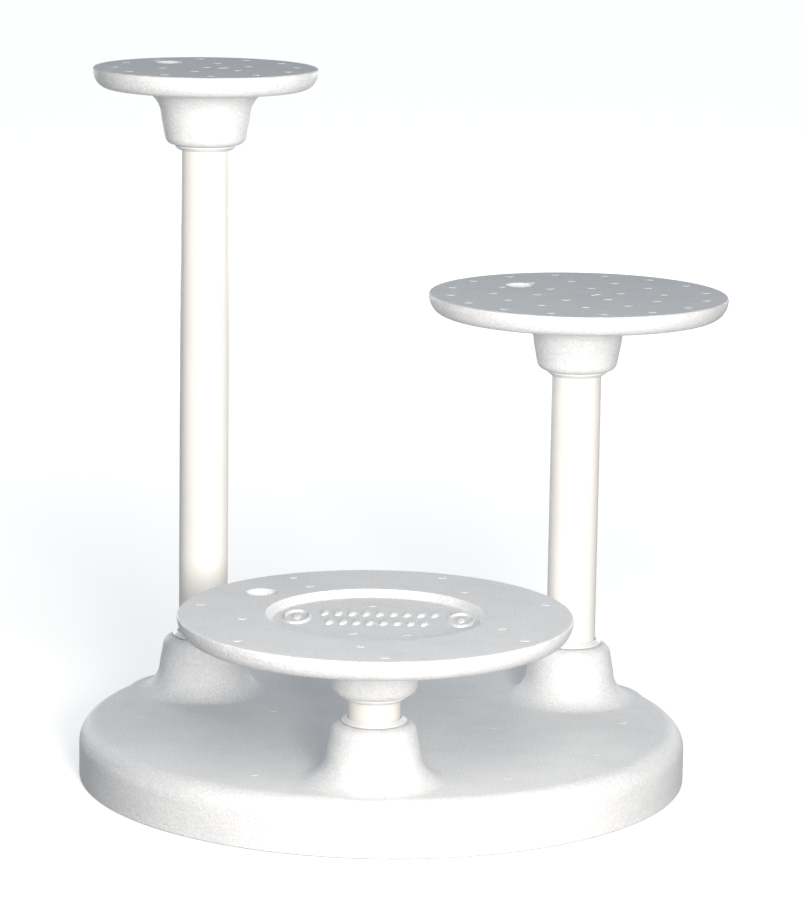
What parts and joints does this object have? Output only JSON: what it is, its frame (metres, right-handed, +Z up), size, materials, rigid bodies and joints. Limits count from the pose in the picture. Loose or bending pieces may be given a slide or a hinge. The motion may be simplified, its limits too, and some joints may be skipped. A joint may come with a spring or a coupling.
{
  "type": "tiered dessert display stand",
  "caption": "Round moulded base with straight pipe posts of different heights, each carrying a lift-off round plate on a bell-shaped hub.",
  "frame": {"origin": "middle of the base's underside, on the surface the stand rests on", "axes": "+Z up, -Y towards the column with the large plate, +X towards the side with the medium plate"},
  "size_m": [0.4318, 0.475, 0.466],
  "materials": {
    "moulded_white": "fine-grained moulded white plastic",
    "pipe_ivory": "satin extruded pipe, slightly warm white",
    "collar_white": "smooth moulded white plastic"
  },
  "bodies": {
    "stand_base": {"base": "moulded_white", "base_collar_left": "collar_white", "base_collar_right": "collar_white", "base_collar_front": "collar_white"},
    "post_tall_body": {"post_tall": "pipe_ivory"},
    "small_hub_sleeve": {"hub_collar_small": "collar_white"},
    "small_plate_body": {"plate_small": "moulded_white"},
    "post_medium_body": {"post_medium": "pipe_ivory"},
    "medium_hub_sleeve": {"hub_collar_medium": "collar_white"},
    "medium_plate_body": {"plate_medium": "moulded_white"},
    "post_short_body": {"post_short": "pipe_ivory"},
    "large_hub_sleeve": {"hub_collar_large": "collar_white"},
    "large_plate_body": {"plate_large": "moulded_white"}
  },
  "joints": [
    {"name": "post_tall_lift", "type": "slide", "parent": "stand_base", "child": "post_tall_body", "axis": [0, 0, 1], "range_m": [0, 0.06]},
    {"name": "plate_small_lift", "type": "slide", "parent": "post_tall_body", "child": "small_hub_sleeve", "axis": [0, 0, 1], "range_m": [0, 0.06]},
    {"name": "plate_small_turn", "type": "hinge", "parent": "small_hub_sleeve", "child": "small_plate_body", "pos_m": [-0.12696, 0.0733, 0.466], "axis": [0, 0, 1], "continuous": true},
    {"name": "post_medium_lift", "type": "slide", "parent": "stand_base", "child": "post_medium_body", "axis": [0, 0, 1], "range_m": [0, 0.06]},
    {"name": "plate_medium_lift", "type": "slide", "parent": "post_medium_body", "child": "medium_hub_sleeve", "axis": [0, 0, 1], "range_m": [0, 0.06]},
    {"name": "plate_medium_turn", "type": "hinge", "parent": "medium_hub_sleeve", "child": "medium_plate_body", "pos_m": [0.12696, 0.0733, 0.317], "axis": [0, 0, 1], "continuous": true},
    {"name": "post_short_lift", "type": "slide", "parent": "stand_base", "child": "post_short_body", "axis": [0, 0, 1], "range_m": [0, 0.06]},
    {"name": "plate_large_lift", "type": "slide", "parent": "post_short_body", "child": "large_hub_sleeve", "axis": [0, 0, 1], "range_m": [0, 0.06]},
    {"name": "plate_large_turn", "type": "hinge", "parent": "large_hub_sleeve", "child": "large_plate_body", "pos_m": [0, -0.1466, 0.144], "axis": [0, 0, 1], "continuous": true}
  ]
}
